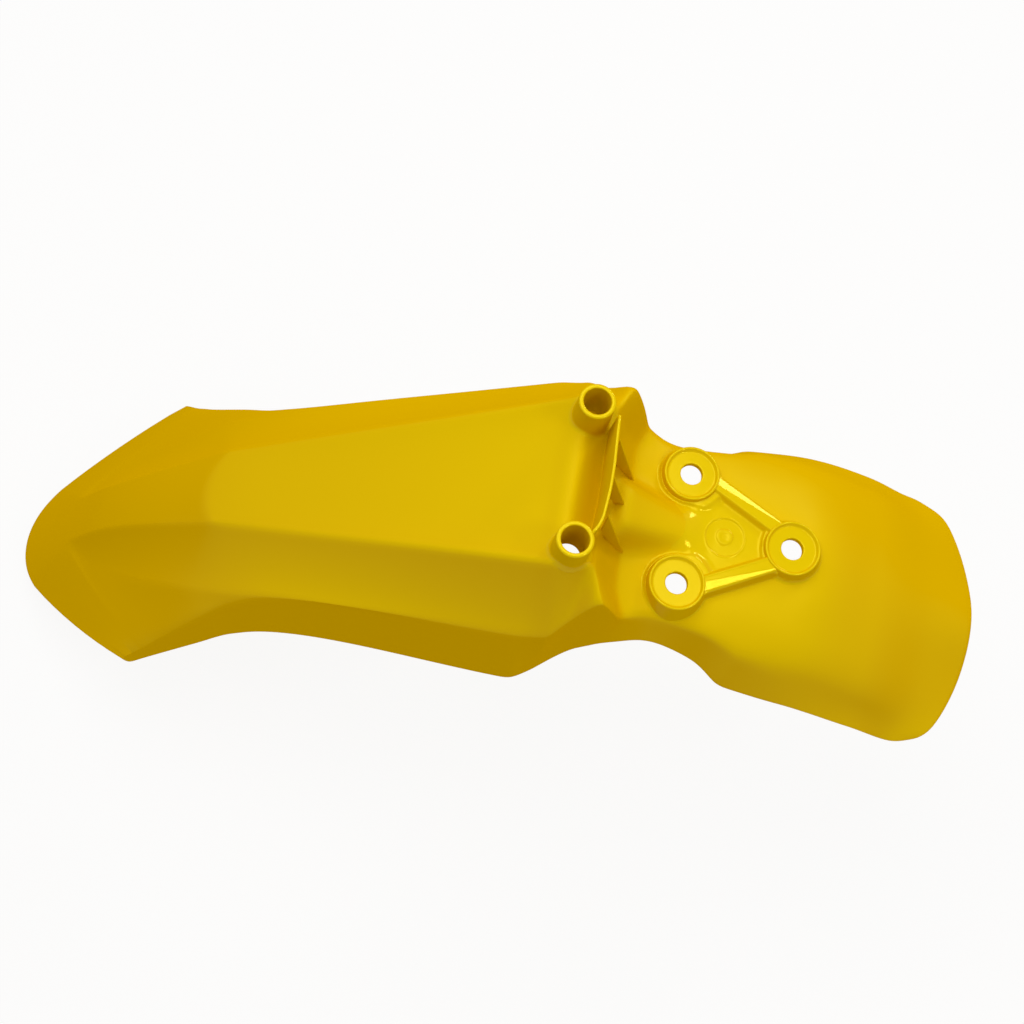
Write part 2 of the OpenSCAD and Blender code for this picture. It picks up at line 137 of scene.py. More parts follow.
shell = {  # millimetres, with heights above the cups' rims
    "wall": 2.5, "noseReach": 487, "noseDrop": 338,
    "wingReach": 372, "wingHalf": 105, "wingDrop": 238,
    "scoopReach": 437, "scoopDepth": 4.5,
    "panelFront": 326, "panelFrontHalf": 25.5, "panelRearHalf": 57, "panelRise": 54, "panelAngle": 33.5, "panelDish": 9,
    "ridgeFrontHalf": 71.5, "ridgeRearHalf": 89, "ridgeFrontDrop": 33, "ridgeRearDrop": 54,
    "wallFrontHeight": 49, "wallRearHeight": 58, "wallLean": 15.5,
    "earReach": 52, "earHalf": 73, "earRise": 40,
    "waistHalf": 70.5, "waistDrop": 35, "saddleHalf": 61.5, "saddleDrop": 7,
    "tailReach": 225, "tailDrop": 82, "tailCornerReach": 198, "tailHalf": 91, "tailCornerDrop": 99.5,
    "tubeReach": 76, "rearCupReach": 72.6, "finReach": 58,
    "humpHeight": 23, "humpHalf": 28, "humpEndHalf": 16, "humpEnd": 15,
    "rimRound": 4.6, "edgeRound": 0.7, "cupGap": 0.5, "tubeGap": 1.5, "cutLength": 160, "cutRise": 20,
    # how fine the mesh is: along the rows, and across the four strips of each side
    "rowStep": 3.5, "fineStep": 1.8, "strips": (23, 21, 9, 16), "roundingStrips": (41, 41, 25, 41),
    "rowPasses": 2, "turnPasses": 8,
    # how softly the crease, the ridge and the fold are rounded at places along X
    "seams": ((-480, 4, 4, 1.6), (-437, 1.4, 1.6, 3), (-407, 1.5, 2, 4.5), (-326, 2.4, 3.4, 5),
              (-265, 2.8, 3.4, 3), (-95, 2.8, 3.2, 2.6), (-76, 3, 3, 1.6), (-52, 4, 4, 2.5),
              (-30, 7, 6, 5), (24, 8, 5, 4), (85, 10, 7, 5), (225, 10, 8, 5)),
}


def panelHeight(x):
    return shell["panelRise"] + (x + shell["tubeReach"]) * math.tan(math.radians(shell["panelAngle"]))


def panelHalf(x):
    s = shell
    widening = (s["panelRearHalf"] - s["panelFrontHalf"]) / (s["panelFront"] - s["tubeReach"])
    return s["panelRearHalf"] + (x + s["tubeReach"]) * widening


def shellSections():
    # crown XZ, crease XYZ, ridge XYZ, fold XYZ, hem XYZ, hollow, bow, how far the row is one smooth
    # curve, and where the lines turn crisply: 1 all of them, 2 crown and crease, 3 the others
    s = shell
    nose, wing, wingW, drop = s["noseReach"], s["wingReach"], s["wingHalf"], s["wingDrop"]
    scoop, deep, front = s["scoopReach"], s["scoopDepth"], s["panelFront"]
    wallFront, wallRear = front - 61, s["tubeReach"] + 19
    lean = math.tan(math.radians(s["wallLean"]))
    ridgeFrontZ = panelHeight(-wallFront) - s["ridgeFrontDrop"]
    ridgeRearZ = panelHeight(-wallRear) - s["ridgeRearDrop"]
    hemFront = s["ridgeFrontHalf"] + s["wallFrontHeight"] * lean
    hemRear = s["ridgeRearHalf"] + s["wallRearHeight"] * lean
    hemFrontZ, hemRearZ = ridgeFrontZ - s["wallFrontHeight"], ridgeRearZ - s["wallRearHeight"]
    crestX, crestZ = -s["finReach"], s["panelRise"] - 16
    ear, earW, earZ = s["earReach"], s["earHalf"], s["earRise"]
    waist, waistZ, saddle, saddleZ = s["waistHalf"], s["waistDrop"], s["saddleHalf"], s["saddleDrop"]
    tail, tailZ, tailW = s["tailReach"], s["tailDrop"], s["tailHalf"]
    corner, cornerZ = s["tailCornerReach"], s["tailCornerDrop"]
    rear, tube, panel, panelZ = s["rearCupReach"], s["tubeReach"], s["panelRearHalf"], s["panelRise"]
    mid = rear + (tail - rear) * 0.45
    frontZ, bendZ = panelHeight(-front), panelHeight(26 - front)
    ridgeW, ridgeBack, noseZ = s["ridgeFrontHalf"], s["ridgeRearHalf"], s["noseDrop"]
    return np.array([
        [-nose - 1, -noseZ, 3 - nose, 21, 2 - noseZ, 19 - nose, 43.5, 14.5 - noseZ,
         -wing, wingW, -drop, 5 - wing, wingW + 2, -drop - 4, -1, 0.5, 1, 0],
        [-scoop, 84 - noseZ, -scoop, 17.5, 82 - noseZ, -scoop, 24.5, 77.5 - noseZ,
         14 - wing, wingW - 6, 17 - drop, 18 - wing, wingW - 3, 4 - drop, 0, 3, 0, 2],
        [6 - scoop, 94 - noseZ, 6 - scoop, 17.6, 92 - noseZ, 11 - scoop, 32, 85.5 - noseZ,
         17 - wing, wingW - 7, 21 - drop, 20.5 - wing, wingW - 3.7, 6 - drop, 1.4, 2.7, 0, 0],
        [30 - scoop, 132 - noseZ, 30 - scoop, 18, 130 - noseZ, 31 - scoop, 41, 104 - noseZ,
         27 - wing, wingW - 11, 35 - drop, 29 - wing, wingW - 6.5, 12 - drop, deep * 0.6, 2, 0, 0],
        [3.5 - front, panelHeight(3.5 - front) + 0.3, 13 - front, panelHalf(13 - front), panelHeight(13 - front),
         -front, ridgeW - 7.5, frontZ - 41,
         14 - front, ridgeW + 10.5, frontZ - 45, 14 - front, hemFront + 5.5, frontZ - 86, deep, 0, 0, 2],
        [26 - front, bendZ, 26 - front, panelHalf(26 - front), bendZ, 28 - front, ridgeW - 3, bendZ - 34.5,
         34 - front, ridgeW + 4, bendZ - 38, 36 - front, hemFront + 0.5, bendZ - 81, deep, 0, 0, 0],
        [-wallFront, panelHeight(-wallFront) - s["panelDish"] / 6,
         -wallFront, panelHalf(-wallFront), panelHeight(-wallFront),
         -wallFront, ridgeW, ridgeFrontZ, -wallFront, ridgeW + 0.8, ridgeFrontZ - 1.6,
         -wallFront, hemFront - 0.5, hemFrontZ, deep, 0, 0, 0],
        [-wallRear, panelHeight(-wallRear) - s["panelDish"] + 1,
         -wallRear, panelHalf(-wallRear), panelHeight(-wallRear),
         -wallRear, ridgeBack, ridgeRearZ, -wallRear, ridgeBack + 0.8, ridgeRearZ - 1.6,
         4 - wallRear, hemRear - 0.5, hemRearZ + 2, deep, 0, 0, 3],
        [-tube - 4, panelZ - 12.5, -tube - 4, panel - 0.2, panelZ - 2.8,
         -tube - 2, ridgeBack, ridgeRearZ + 8.5, -tube - 2, ridgeBack + 0.8, ridgeRearZ + 6,
         -tube - 3, hemRear - 8, hemRearZ + 5, deep / 2, 0, 0, 0],
        [crestX - 14, panelZ - 17, crestX - 14, panel - 1.5, panelZ - 2,
         -tube + 4, ridgeBack - 3.5, ridgeRearZ + 16.6, -tube + 4, ridgeBack - 2.7, ridgeRearZ + 14,
         -tube + 1.5, hemRear - 10.8, hemRearZ + 10, deep / 3, 0, 0, 0],
        [crestX - 7, crestZ - 7.5, crestX - 7, panel - 3, crestZ + 12,
         -ear - 13, earW + 6.5, earZ - 25, -ear - 12.5, earW + 7.3, earZ - 28,
         -ear - 17.3, waist + 20.5, -waistZ - 19.5, deep / 4, 0, 0, 0],
        [crestX, crestZ - 12, crestX - 1.5, panel - 5, crestZ + 8, -ear, earW, earZ,
         1 - ear, earW + 0.8, earZ - 2.5, -ear - 4, waist + 13.5, -waistZ - 5, 0, 0, 0, 2],
        [crestX + 3.5, crestZ - 17, crestX + 3.5, panel - 6, crestZ - 6, 5.5 - ear, earW - 1, earZ - 8,
         6.5 - ear, earW - 0.2, earZ - 11, 4 - ear, waist + 11, -waistZ - 2, 0, 0, 0, 0],
        [crestX + 10, crestZ - 26, crestX + 10, panel - 7, crestZ - 25, 13 - ear, earW - 3, earZ - 26,
         14 - ear, earW - 2, earZ - 30, 11 - ear, waist + 8.5, 1 - waistZ, 0, 0, 0, 0],
        [crestX + 21, 3.5 - saddleZ, crestX + 21, panel - 9, 2 - saddleZ, 20.8 - ear, saddle + 4.5, 1 - saddleZ,
         21.8 - ear, saddle + 5.3, -saddleZ - 1.5, 20 - ear, waist + 6, 2 - waistZ, 1, 0, 0, 0],
        [-6, -saddleZ, -6, 42, -saddleZ - 2, -10, saddle - 1.8, -saddleZ - 5.5, -10, saddle - 0.3, -saddleZ - 8.5,
         -6, waist - 0.6, -waistZ - 1.8, -0.5, 0, 0, 0],
        [24, -saddleZ, 24, 42, -saddleZ - 2.5, 24, saddle + 2.2, -saddleZ - 9.5, 24, saddle + 4, -saddleZ - 15,
         24, waist + 3.6, -waistZ - 12, -0.5, 0, 0, 0],
        [50, -saddleZ, 50, 42, -saddleZ - 5, 50, saddle + 9, -saddleZ - 17, 50, saddle + 12.5, -saddleZ - 23,
         46, tailW - 5.5, -waistZ - 23, -1, 0, 0, 3],
        [rear + 13, -saddleZ - 1, rear + 13, 45, -saddleZ - 10, rear + 13, tailW - 20, -saddleZ - 23,
         rear + 13, tailW - 14, -saddleZ - 31, rear + 13, tailW - 1.5, -waistZ - 24.2, -1.5, 0, 0, 0],
        [mid, -tailZ * 0.41, mid, 45, -tailZ * 0.41 - 8, mid, tailW - 20, -tailZ * 0.41 - 21,
         mid, tailW - 13.5, -tailZ * 0.41 - 29, mid, tailW + 0.5, 23 - cornerZ, -1.5, 0, 0.5, 0],
        [tail - 35, 19 - tailZ, tail - 35, 40, 8 - tailZ, corner - 10, tailW - 25, 16 - cornerZ,
         corner - 14, tailW - 13.5, 11 - cornerZ, corner - 20, tailW + 0.2, 3 - cornerZ, -1, 0, 1, 0],
        [tail + 0.5, -tailZ, tail - 0.8, 36, -tailZ - 12, corner + 17.5, tailW - 28, 2 - cornerZ,
         corner + 10, tailW - 14, 1 - cornerZ, corner, tailW - 5.5, -cornerZ, -0.5, 0, 1, 0],
    ], float)


def sectionRows(sections):  # smooth rows through the sections, never running past them
    crisp, values = sections[:, -1], sections[:, :-1]
    gaps = np.diff(values[:, 0])
    rises = np.diff(values, axis=0) / gaps[:, None]
    before = np.vstack([rises[:1], rises])
    after = np.vstack([rises, rises[-1:]])
    both = before * after
    middle = np.where(both <= 0, 0.0, 2 * both / np.where(both <= 0, 1.0, before + after))
    middle[0], middle[-1] = rises[0], rises[-1]
    inner = np.arange(values.shape[1]) < 5
    turned = (crisp[:, None] == 1) | ((crisp[:, None] == 2) & inner) | ((crisp[:, None] == 3) & ~inner)
    leanIn = np.where(turned, before, middle)
    leanOut = np.where(turned, after, middle)
    rows = []
    for k, gap in enumerate(gaps):
        run = np.linalg.norm(values[k + 1, [2, 3, 4]] - values[k, [2, 3, 4]])
        fine = -438 < values[k, 0] < -430 or -340 < values[k, 0] < -320 or -100 < values[k, 0] < 40
        count = max(4, round(run / shell["fineStep" if fine else "rowStep"]))
        for u in np.arange(count) / count:
            v, w = u * u, u * u * u
            rows.append((2 * w - 3 * v + 1) * values[k] + (w - 2 * v + u) * gap * leanOut[k]
                        + (3 * v - 2 * w) * values[k + 1] + (w - v) * gap * leanIn[k + 1])
            rows[-1][0] = mix(values[k, 0], values[k + 1, 0], u)
    rows.append(values[-1].copy())
    return np.array(rows)


def humpHeight(x, y):  # flat-topped hump that fades towards the pocket
    s = shell
    start, crest, end = 4 - s["finReach"], 20 - s["finReach"], s["humpEnd"]
    height = s["humpHeight"] * ease((x - start) / (crest - start)) * limit((end - x) / (end - crest)) ** 0.9
    half = mix(s["humpHalf"], s["humpEndHalf"], limit((x - crest) / -crest))
    return height * (1 + np.cos(np.pi * limit((y / half - 0.4) / 0.6))) / 2


def shellSkin(rows, places):  # outer skin of one side: rows by places by XYZ
    crown = np.stack([rows[:, 0], rows[:, 0] * 0, rows[:, 1]], 1)
    nodes = [crown] + [rows[:, 3 * n - 1:3 * n + 2] for n in (1, 2, 3, 4)]
    links = [unitRows(nodes[n + 1] - nodes[n]) for n in range(4)]
    headings = [np.tile([0.0, 1.0, 0.0], (len(rows), 1))] + [unitRows(links[n - 1] + links[n]) for n in (1, 2)]
    for n in (2, 3):  # the last two turn on as an arc does
        headings.append(2 * (headings[n] * links[n]).sum(1, keepdims=True) * links[n] - headings[n])
    soft = rows[:, 16:17]
    power = 2 + limit((rows[:, :1] + 330) / 60) * limit((-50 - rows[:, :1]) / 20)
    skin = np.empty((len(rows), len(places), 3))
    for j, v in enumerate(places):
        n = min(int(v + 1e-9), 3)
        u = v - n
        a, b, length = nodes[n], nodes[n + 1], np.linalg.norm(nodes[n + 1] - nodes[n], axis=1, keepdims=True)
        if n == 0:
            across = v ** power
            plain = mix(a, b, across)
            plain[:, 1] = rows[:, 3] * v
        else:
            plain = mix(a, b, u)
        if n == 1:
            plain[:, 2] -= rows[:, 14] * 4 * u * (1 - u)
        if n == 2:
            plain[:, 1] += rows[:, 15] * 4 * u * (1 - u)
        q, w = u * u, u * u * u
        curved = ((2 * w - 3 * q + 1) * a + (w - 2 * q + u) * length * headings[n]
                  + (3 * q - 2 * w) * b + (w - q) * length * headings[n + 1])
        part = np.where((n == 3) & (rows[:, :1] < 0), 0, np.where((n == 2) & (rows[:, :1] < 0), 0.45 * soft, soft))
        skin[:, j] = mix(plain, curved, part)
        skin[:, j, 2] += humpHeight(rows[:, 0], rows[:, 3] * v) if n == 0 else 0
    return skin


def roundSeams(skin, places, wanted):  # rounds the seams across each row by a set width
    steps = np.linalg.norm(np.diff(skin, axis=1), axis=2)
    run = np.concatenate([np.zeros((len(skin), 1)), np.cumsum(steps, axis=1)], axis=1)
    weight = np.gradient(run, axis=1)
    other = skin * [1, -1, 1]
    end = skin[:, -1:]
    past = 2 * end - skin[:, ::-1]
    wide = np.concatenate([other[:, :0:-1], skin, past[:, 1:]], axis=1)
    wideRun = np.concatenate([-run[:, :0:-1], run, 2 * run[:, -1:] - run[:, ::-1][:, 1:]], axis=1)
    wideWeight = np.concatenate([weight[:, :0:-1], weight, weight[:, ::-1][:, 1:]], axis=1)
    seams = np.array(shell["seams"], float)
    crease, ridge, fold = [np.interp(skin[:, 0, 0], seams[:, 0], seams[:, k]) for k in (1, 2, 3)]
    out = np.empty((len(skin), len(wanted), 3))
    for j, v in enumerate(wanted):
        at = np.array([np.interp(v, places, r) for r in run])
        n = min(int(v), 3)
        radius = mix((crease, crease, ridge, fold)[n], (crease, ridge, fold, fold)[n], v - n)
        pull = wideWeight * np.exp(-((wideRun - at[:, None]) / radius[:, None]) ** 2)
        out[:, j] = (wide * pull[:, :, None]).sum(1) / pull.sum(1)[:, None]
    return out


def roundRim(skin):  # rounds the corners of the rim and lets the skin beside it follow
    rows, columns = skin.shape[:2]
    loop = [(0, j) for j in range(columns)] + [(i, columns - 1) for i in range(1, rows)]
    loop += [(rows - 1, j) for j in range(columns - 2, -1, -1)] + [(i, 0) for i in range(rows - 2, 0, -1)]
    loop = np.array(loop)
    rim = skin[loop[:, 0], loop[:, 1]]
    steps = np.linalg.norm(np.roll(rim, -1, axis=0) - rim, axis=1)
    run = np.concatenate([[0], np.cumsum(steps)[:-1]])
    total = steps.sum()
    weight = (steps + np.roll(steps, 1)) / 2
    apart = np.abs(run[:, None] - run[None])
    apart = np.minimum(apart, total - apart)
    pull = weight[None] * np.exp(-(apart / shell["rimRound"]) ** 2)
    move = pull @ rim / pull.sum(1)[:, None] - rim
    tree = KDTree(len(rim))
    for k, place in enumerate(rim):
        tree.insert(place, k)
    tree.balance()
    out = skin.copy()
    for i in range(rows):
        inner = 5 < i < rows - 6
        for j in range(columns):
            if inner and 10 < j < columns - 11:
                continue
            k, gap = tree.find(skin[i, j])[1:]
            out[i, j] += move[k] * math.exp(-(gap / 5) ** 2)
    return out


def placesAcross(counts):  # evenly spaced places over the four strips of one side
    parts = [np.linspace(n, n + 1, count) for n, count in enumerate(counts)]
    return np.concatenate([parts[0]] + [part[1:] for part in parts[1:]])


def makeShell():
    rows = sectionRows(shellSections())
    dense, wanted = placesAcross(shell["roundingStrips"]), placesAcross(shell["strips"])
    half = roundSeams(shellSkin(rows, dense), dense, wanted)
    half[:, 0, 1] = 0
    skin = np.concatenate([(half * [1, -1, 1])[:, :0:-1], half], axis=1)
    for _ in range(shell["rowPasses"]):  # takes the last unevenness out along the rows
        skin[1:-1] = (skin[:-2] + 2 * skin[1:-1] + skin[2:]) / 4
    x = skin[1:-1, :, :1]
    share = ease((x + 56) / 8) * ease((40 - x) / 30) + 0.45 * ease((x + 340) / 12) * ease((-298 - x) / 12)
    # and more at the panel's front bend, and where the wall behind the fin turns into the saddle
    for _ in range(shell["turnPasses"]):
        skin[1:-1] += share * ((skin[:-2] + 2 * skin[1:-1] + skin[2:]) / 4 - skin[1:-1])
    skin = roundRim(skin) * mm
    deselectAll()
    bpy.ops.mesh.primitive_grid_add(x_subdivisions=len(skin) - 1, y_subdivisions=skin.shape[1] - 1, size=1)
    piece = addedPiece("shell")
    flat = corners(piece)
    i = np.rint((flat[:, 0] + 0.5) * (len(skin) - 1)).astype(int)
    j = np.rint((flat[:, 1] + 0.5) * (skin.shape[1] - 1)).astype(int)
    setCorners(piece, skin[i, j])
    return piece


shellPiece = makeShell()
print("shell lofted:", len(shellPiece.data.polygons), "faces")
skinTree = BVHTree.FromObject(shellPiece, bpy.context.evaluated_depsgraph_get())


def skinHeight(x, y):  # height of the shell's outer skin, in metres
    hit = skinTree.ray_cast(Vector((x, y, 0.2)), Vector((0, 0, -1)))[0]
    return hit.z if hit else -0.05


# turned pieces: the three cups and the two tubes

cups = {
    "spacing": 76, "hole": 7.35, "seat": 15.9, "crest": 17.65, "round": 1, "seatDepth": 2,
    "floor": 4.5, "skirt": 17, "flare": 3.8, "sides": 96,
}
tubes = {
    "spacing": 91, "reach": 76, "rise": 68, "outer": 11.85, "bore": 8.75, "foot": 30,
    "fillet": 2.6, "round": 1.3, "sides": 96,
}
onSkin = -1000  # a height below this one is measured from the shell's skin


def arc(cx, cz, r, fromAngle, toAngle, steps):
    turns = np.radians(np.linspace(fromAngle, toAngle, steps + 1))
    return [(cx + r * math.cos(a), cz + r * math.sin(a)) for a in turns]


def turnPiece(name, profile, centre, sides):
    deselectAll()
    bpy.ops.mesh.primitive_circle_add(vertices=len(profile), radius=0.01, fill_type="NOTHING")
    piece = addedPiece(name)
    setCorners(piece, [(r * mm, 0, z * mm) for r, z in profile])
    editAll(piece)
    bpy.ops.mesh.spin(steps=sides, angle=math.tau, center=(0, 0, 0), axis=(0, 0, 1))
    bpy.ops.mesh.select_all(action="SELECT")
    bpy.ops.mesh.remove_doubles(threshold=1e-6)
    bpy.ops.mesh.normals_make_consistent(inside=False)
    leaveEdit()
    places = corners(piece)
    places[:, 0] += centre[0] * mm
    places[:, 1] += centre[1] * mm
    low = places[:, 2] < onSkin * mm / 2
    for k in np.nonzero(low)[0]:
        places[k, 2] += skinHeight(places[k, 0], places[k, 1]) - onSkin * mm
    setCorners(piece, places)
    return piece


def makeCup(name, centre):
    c = cups
    outer = c["crest"] + c["round"]
    core, under = c["seat"] - 0.4, -c["seatDepth"] - c["floor"]
    seatZ, skirtZ = -c["seatDepth"], -c["skirt"]
    profile = [(c["hole"], under + 0.3)] + arc(c["hole"] + 0.5, seatZ - 0.5, 0.5, 180, 90, 3)
    profile += [(c["hole"] + 1, seatZ), (c["seat"] - 1, seatZ), (c["seat"] - 0.35, seatZ), (c["seat"], seatZ + 0.15)]
    profile += arc(c["crest"], -c["round"], c["round"], 150, 0, 9)
    profile += [(outer + 0.15, -c["round"] - 0.6), (outer + c["flare"], skirtZ + 0.5)]
    profile += [(outer + c["flare"] - 0.5, skirtZ), (core, skirtZ), (core, under), (c["hole"] + 0.3, under)]
    return turnPiece(name, profile, centre, c["sides"])


def makeTube(name, side):
    t = tubes
    outer, bore, r, f = t["outer"], t["bore"], t["round"], t["fillet"]
    inner = r * 0.6  # the bore's edge is rounded less
    profile = [(bore, t["foot"]), (bore, t["rise"] - inner - 0.6)]
    profile += arc(bore + inner, t["rise"] - inner, inner, 180, 90, 4) + arc(outer - r, t["rise"] - r, r, 90, 0, 5)
    profile += [(outer + 0.02, t["rise"] - r - 0.7), (outer + 0.24, onSkin + f + 0.7), (outer + 0.25, onSkin + f)]
    profile += [(outer + 0.25 + f - x, onSkin + f - z) for x, z in arc(0, 0, f, 15, 90, 6)]
    profile += [(outer + 0.15 + f, onSkin - 0.8), (outer - 0.5, onSkin - 1.4), (outer - 0.5, t["foot"])]
    return turnPiece(name, profile, (-t["reach"], side * t["spacing"] / 2), t["sides"])


cupPlaces = [(0, cups["spacing"] / 2), (0, -cups["spacing"] / 2), (shell["rearCupReach"], 0)]
cupPieces = [makeCup(f"cup{k}", place) for k, place in enumerate(cupPlaces)]
tubePieces = [makeTube(f"tube{k}", side) for k, side in enumerate((1, -1))]
print("cups and tubes turned")


# the plate with the pocket and the two bars

plate = {
    "low": (-24, -62), "high": (98, 62), "step": 0.5, "lift": 0.03, "thick": 1.2,
    "floor": -5.3, "rearWall": 52.4, "wallSlope": 3.2, "edge": 0.9,
    "barTop": -0.9, "barFrom": 0.9, "barTo": 11.75, "barSlope": 2.2, "barFall": 2.6,
    "barFlat": (3.8, 8), "facetTo": 10.4, "lip": 0.25,
    "cupFillet": 2.6, "cupFilletTop": -3, "cupFoot": 20.2, "lobe": 9, "lobeRise": 2.5,
    "disc": (28, 12.9, 0.6), "gate": (27.5, 6.2, 0.9),  # place along X, radius, depth or rise
}


def plateHeights(x, y, skin):  # millimetres
    p = plate
    across = np.abs(y)
    run = np.hypot(shell["rearCupReach"], cups["spacing"] / 2)
    dx, dy = shell["rearCupReach"] / run, -cups["spacing"] / 2 / run
    along = x * dx + (across - cups["spacing"] / 2) * dy
    out = -x * dy + (across - cups["spacing"] / 2) * dx
    inner = p["floor"] + (out - p["barFrom"] + p["barSlope"]) * (p["barTop"] - p["floor"]) / p["barSlope"]
    # the facet tapers towards the rear cup
    facet = p["barFrom"] + mix(*p["barFlat"], limit((along - 22) / (run - 40)))
    top = p["barTop"] - 0.3 * np.clip(out - facet, 0, None) - 0.5 * np.maximum(out - p["facetTo"], 0)
    outer = p["barTop"] - p["barFall"] - (out - p["barTo"]) * p["wallSlope"]
    bar = softMin(softMin(inner, top, p["edge"]), outer, p["edge"])
    bar = bar + p["lip"] * np.exp(-((out - p["barFrom"] - 0.7) / 0.5) ** 2)
    bar = np.where((along > 0) & (along < run), bar, -60)
    floor = p["floor"] - 5 * limit((10 - x) / 22) ** 2
    rear = np.minimum(p["floor"] + (x - p["rearWall"]) * 0.8, p["barTop"])
    floor = softMax(floor, rear, 0.8)
    # the floor rises in a wide curve towards the front cups
    away = np.hypot(x, across - cups["spacing"] / 2) - p["cupFoot"]
    lobe = p["lobe"] * (1 - np.sqrt(1 - limit(1 - away / p["lobe"]) ** 2)) * ease((x - 1) / 10)
    floor = floor + softMin(lobe, p["lobeRise"] + 0 * x, 0.8)
    discX, discR, discDepth = p["disc"]
    gateX, gateR, gateRise = p["gate"]
    r = np.hypot(x - discX, y)
    floor = floor - discDepth * ease((discR + 0.3 - r) / 0.6) + 0.35 * np.exp(-((r - discR - 0.6) / 0.5) ** 2)
    bearing = np.arctan2(y, x - gateX)
    edge = gateR * (1 + 0.05 * np.sin(bearing + 0.6) + 0.03 * np.sin(3 * bearing))
    r = np.hypot(x - gateX, y)
    floor = floor + gateRise * ease((edge - r) / 1.2) - 0.3 * gateRise * ease((edge * 0.55 - r) / 1.6)
    inside = (out < p["barFrom"] + 0.8) & ((x > 0) | (across < 22)) & (x < p["rearWall"] + 8)
    height = softMax(bar, np.where(inside, floor, -60), p["edge"])
    height = softMax(height, skin, mix(2.6, 7, ease((18 - x) / 16) * ease((24 - across) / 14)))
    for cx, cy in cupPlaces:
        r = np.hypot(x - cx, y - cy)
        f = p["cupFillet"]
        raised = height + f * (1 - np.sqrt(1 - limit((p["cupFoot"] + f - r) / f) ** 2))
        height = np.minimum(raised, np.maximum(height, p["cupFilletTop"]))
    return height


def makePlate():
    p = plate
    low, high = p["low"], p["high"]
    nx, ny = round((high[0] - low[0]) / p["step"]), round((high[1] - low[1]) / p["step"])
    deselectAll()
    bpy.ops.mesh.primitive_grid_add(x_subdivisions=nx, y_subdivisions=ny, size=1)
    piece = addedPiece("mountPlate")
    flat = corners(piece)
    x = mix(low[0], high[0], flat[:, 0] + 0.5)
    y = mix(low[1], high[1], flat[:, 1] + 0.5)
    skin = np.array([skinHeight(a * mm, abs(b) * mm) / mm for a, b in zip(x, y)])
    height = plateHeights(x, y, skin)
    setCorners(piece, np.stack([x, y, height + p["lift"]], 1) * mm)
    gone = height - skin < 0.01
    for cx, cy in cupPlaces:
        gone |= np.hypot(x - cx, y - cy) < cups["crest"]
    editAll(piece)
    bpy.ops.mesh.select_mode(type="VERT")
    bpy.ops.mesh.select_all(action="DESELECT")
    leaveEdit()
    piece.data.vertices.foreach_set("select", gone)
    bpy.ops.object.mode_set(mode="EDIT")
    bpy.ops.mesh.delete(type="VERT")
    leaveEdit()
    applyModifier(piece, "SOLIDIFY", thickness=p["thick"] * mm, offset=-1)
    return piece


platePiece = makePlate()
print("plate made:", len(platePiece.data.polygons), "faces")


# the fin between the tubes, and the ribs behind it

fin = {
    "path": ((-67, -39.5), (-65.8, -38.2), (-63, -33.6), (-61.3, -27.4), (-60.6, -20),
             (-59.6, -8), (-59.5, 8), (-60.4, 26), (-60.8, 40)),
    "reach": 58, "thick": 1.9, "root": 2.2, "rise": 67, "fillet": 1.6, "round": 0.6, "step": 0.8,
}
ribs = {"thick": 1.8, "pitch": 25, "length": 21, "top": 63.5, "round": 0.45}


def makeFin():
    f = fin
    ys = np.linspace(f["path"][0][1], f["path"][-1][1], round((f["path"][-1][1] - f["path"][0][1]) / f["step"]) + 1)
    xs = np.interp(ys, [p[1] for p in f["path"]], [p[0] for p in f["path"]])
    for _ in range(6):
        xs[1:-1] = (xs[:-2] + 2 * xs[1:-1] + xs[2:]) / 4
    slopes = np.gradient(xs, ys)
    rings = []
    for x, y, slope in zip(xs, ys, slopes):
        n = np.array([1, -slope]) / math.hypot(1, slope)
        t, r, root = f["thick"] / 2, f["round"], f["root"]
        foot = skinHeight((x - root * n[0]) * mm, (y - root * n[1]) * mm) / mm
        top = f["rise"] - 1.2 * limit((abs(y) - 36) / 3) ** 2
        ring = [(t, 5 if abs(y) < 30 else 18), (t, top - r)] + arc(t - r, top - r, r, 0, 90, 4)[1:]
        ring += arc(r - t, top - r, r, 90, 180, 4)
        ring += [(-root - f["fillet"] + a, foot + f["fillet"] - b) for a, b in arc(0, 0, f["fillet"], 8, 90, 5)]
        ring += [(-root - f["fillet"], foot - 1.2), (-t, foot - 3), (0, foot - 6)]
        rings.append([(x + a * n[0], y + a * n[1], b) for a, b in ring])
    rings = np.array(rings)
    rings = np.concatenate([rings, rings[:, :1]], axis=1) * mm
    deselectAll()
    bpy.ops.mesh.primitive_grid_add(x_subdivisions=len(rings) - 1, y_subdivisions=rings.shape[1] - 1, size=1)
    piece = addedPiece("fin")
    flat = corners(piece)
    i = np.rint((flat[:, 0] + 0.5) * (len(rings) - 1)).astype(int)
    j = np.rint((flat[:, 1] + 0.5) * (rings.shape[1] - 1)).astype(int)
    setCorners(piece, rings[i, j])
    editAll(piece)
    bpy.ops.mesh.remove_doubles(threshold=1e-7)
    bpy.ops.mesh.fill_holes(sides=0)
    bpy.ops.mesh.select_all(action="SELECT")
    bpy.ops.mesh.normals_make_consistent(inside=False)
    leaveEdit()
    return piece


